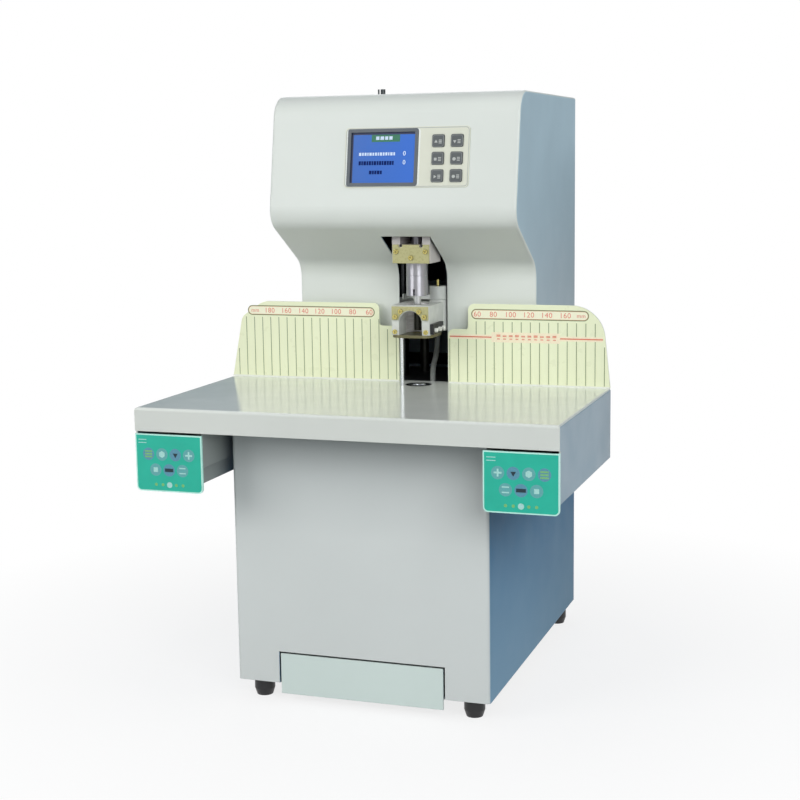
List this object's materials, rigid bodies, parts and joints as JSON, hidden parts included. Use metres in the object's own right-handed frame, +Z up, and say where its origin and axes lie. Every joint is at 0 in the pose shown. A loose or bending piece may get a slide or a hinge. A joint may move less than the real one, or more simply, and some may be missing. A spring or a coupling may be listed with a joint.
{
  "type": "document riveting machine",
  "caption": "Free-standing desk machine that drills a stack of paper and rivets it, with a work table, gauge plates, sloping screen, drawers and a chip tray.",
  "frame": {"origin": "middle of the machine's width and depth, at the level of the feet's undersides", "axes": "+Z up, -Y towards the operator, +X to the operator's right"},
  "size_m": [0.44, 0.44, 0.635],
  "materials": {
    "light_paint": "fine satin powder coat, warm light grey",
    "blue_paint": "fine satin powder coat, blue grey",
    "gauge_yellow": "smooth pale yellow-green plate with printed scale",
    "drawer_teal": "printed teal front with a pale edge",
    "drawer_grey": "satin grey sheet",
    "scrap_front": "satin pale green-white sheet",
    "black_rubber": "moulded black rubber",
    "zinc_plate": "zinc plated steel, slightly brushed",
    "ground_steel": "ground and polished steel",
    "dark_steel": "blued tool steel",
    "cast_grey": "light grey painted aluminium casting",
    "brass": "satin pale brass",
    "membrane": "cream membrane panel with a thin grey outline",
    "bezel_grey": "dark grey bezel round a blue screen",
    "key_grey": "dark grey moulded keys",
    "board_green": "printed circuit board",
    "black_plastic": "moulded black plastic",
    "white_nylon": "natural white nylon",
    "cable_grey": "dark grey cable jacket",
    "motor_black": "black motor housing",
    "belt_rubber": "black toothed belt rubber"
  },
  "bodies": {
    "machine_frame": {"anvil_actuator": "motor_black", "base_plate": "zinc_plate", "bed_plate": "zinc_plate", "cabinet_rear_cover": "blue_paint", "cabinet_shell": "light_paint", "cutting_pad": "white_nylon", "die_ring": "ground_steel", "drawer_runners": "drawer_grey", "feed_tube": "ground_steel", "frame_side_plates": "zinc_plate", "front_cover": "light_paint", "guide_columns": "ground_steel", "head_rear_cover": "blue_paint", "head_top_plate": "zinc_plate", "keypad_panel": "membrane", "lcd_module": "bezel_grey", "left_gauge_plate": "gauge_yellow", "left_side_cover": "blue_paint", "panel_board": "board_green", "power_inlet": "black_plastic", "power_supply": "zinc_plate", "press_lift_motor": "motor_black", "right_gauge_plate": "gauge_yellow", "right_side_cover": "blue_paint", "rubber_feet": "black_rubber", "table_top": "light_paint"},
    "press_carriage": {"press_block": "cast_grey", "press_brass_plate": "brass", "press_foot_plate": "dark_steel", "press_guide_rod": "ground_steel", "press_fasteners": "brass", "terminal_block": "black_plastic", "throat_cable": "cable_grey", "drill_lift_motor": "motor_black"},
    "drill_head": {"drill_bracket": "cast_grey", "drill_brass_plate": "brass", "drill_plate_screws": "brass", "drill_motor": "motor_black", "drive_belt": "belt_rubber"},
    "spindle_body": {"spindle": "ground_steel", "drill_bit": "dark_steel", "spindle_pulley": "zinc_plate"},
    "motor_pulley_body": {"motor_pulley": "zinc_plate"},
    "press_screw_body": {"press_lead_screw": "dark_steel"},
    "drill_screw_body": {"drill_lead_screw": "dark_steel"},
    "feed_arm_body": {"feed_arm": "cast_grey"},
    "anvil_body": {"lower_anvil": "dark_steel"},
    "left_drawer": {"left_drawer_tray": "drawer_grey", "left_drawer_front": "drawer_teal"},
    "right_drawer": {"right_drawer_tray": "drawer_grey", "right_drawer_front": "drawer_teal"},
    "scrap_drawer": {"scrap_drawer_tray": "drawer_grey", "scrap_drawer_front": "scrap_front"},
    "switch_rocker": {"power_switch": "black_plastic"},
    "key_1_body": {"key_1": "key_grey"},
    "key_2_body": {"key_2": "key_grey"},
    "key_3_body": {"key_3": "key_grey"},
    "key_4_body": {"key_4": "key_grey"},
    "key_5_body": {"key_5": "key_grey"},
    "key_6_body": {"key_6": "key_grey"}
  },
  "joints": [
    {"name": "press_slide", "type": "slide", "parent": "machine_frame", "child": "press_carriage", "axis": [0, 0, -1], "range_m": [0, 0.05], "deforming": ["throat_cable"]},
    {"name": "drill_slide", "type": "slide", "parent": "press_carriage", "child": "drill_head", "axis": [0, 0, 1], "range_m": [-0.038, 0]},
    {"name": "spindle_spin", "type": "hinge", "parent": "drill_head", "child": "spindle_body", "pos_m": [0.011, 0, 0.43], "axis": [0, 0, 1], "continuous": true},
    {"name": "motor_pulley_spin", "type": "hinge", "parent": "drill_head", "child": "motor_pulley_body", "pos_m": [0.011, 0.165, 0.52], "axis": [0, 0, 1], "continuous": true},
    {"name": "press_screw_spin", "type": "hinge", "parent": "machine_frame", "child": "press_screw_body", "pos_m": [-0.019, 0.115, 0.45], "axis": [0, 0, 1], "continuous": true},
    {"name": "drill_screw_spin", "type": "hinge", "parent": "press_carriage", "child": "drill_screw_body", "pos_m": [0.041, 0.118, 0.48], "axis": [0, 0, -1], "continuous": true},
    {"name": "feed_arm_swing", "type": "hinge", "parent": "press_carriage", "child": "feed_arm_body", "pos_m": [0.025, 0.03, 0.41], "axis": [0, 0, 1], "range_deg": [0, 64.98]},
    {"name": "anvil_slide", "type": "slide", "parent": "machine_frame", "child": "anvil_body", "axis": [0, 0, 1], "range_m": [0, 0.003]},
    {"name": "left_drawer_slide", "type": "slide", "parent": "machine_frame", "child": "left_drawer", "axis": [0, -1, 0], "range_m": [0, 0.15]},
    {"name": "right_drawer_slide", "type": "slide", "parent": "machine_frame", "child": "right_drawer", "axis": [0, -1, 0], "range_m": [0, 0.15]},
    {"name": "scrap_drawer_slide", "type": "slide", "parent": "machine_frame", "child": "scrap_drawer", "axis": [0, -1, 0], "range_m": [0, 0.15]},
    {"name": "power_switch_rock", "type": "hinge", "parent": "machine_frame", "child": "switch_rocker", "pos_m": [-0.024, 0.2135, 0.07], "axis": [1, 0, 0], "range_deg": [0, 16]},
    {"name": "key_1_press", "type": "slide", "parent": "machine_frame", "child": "key_1_body", "axis": [0, 0.9849, -0.1734], "range_m": [0, 0.0008], "stiffness_N_per_m": 400},
    {"name": "key_2_press", "type": "slide", "parent": "machine_frame", "child": "key_2_body", "axis": [0, 0.9849, -0.1734], "range_m": [0, 0.0008], "stiffness_N_per_m": 400},
    {"name": "key_3_press", "type": "slide", "parent": "machine_frame", "child": "key_3_body", "axis": [0, 0.9849, -0.1734], "range_m": [0, 0.0008], "stiffness_N_per_m": 400},
    {"name": "key_4_press", "type": "slide", "parent": "machine_frame", "child": "key_4_body", "axis": [0, 0.9849, -0.1734], "range_m": [0, 0.0008], "stiffness_N_per_m": 400},
    {"name": "key_5_press", "type": "slide", "parent": "machine_frame", "child": "key_5_body", "axis": [0, 0.9849, -0.1734], "range_m": [0, 0.0008], "stiffness_N_per_m": 400},
    {"name": "key_6_press", "type": "slide", "parent": "machine_frame", "child": "key_6_body", "axis": [0, 0.9849, -0.1734], "range_m": [0, 0.0008], "stiffness_N_per_m": 400}
  ],
  "couplings": [
    {"joint": "motor_pulley_spin", "follows": "spindle_spin", "ratio": 1.5},
    {"joint": "press_screw_spin", "follows": "press_slide", "rad_per_m": 628.32},
    {"joint": "drill_screw_spin", "follows": "drill_slide", "rad_per_m": 785.4}
  ]
}
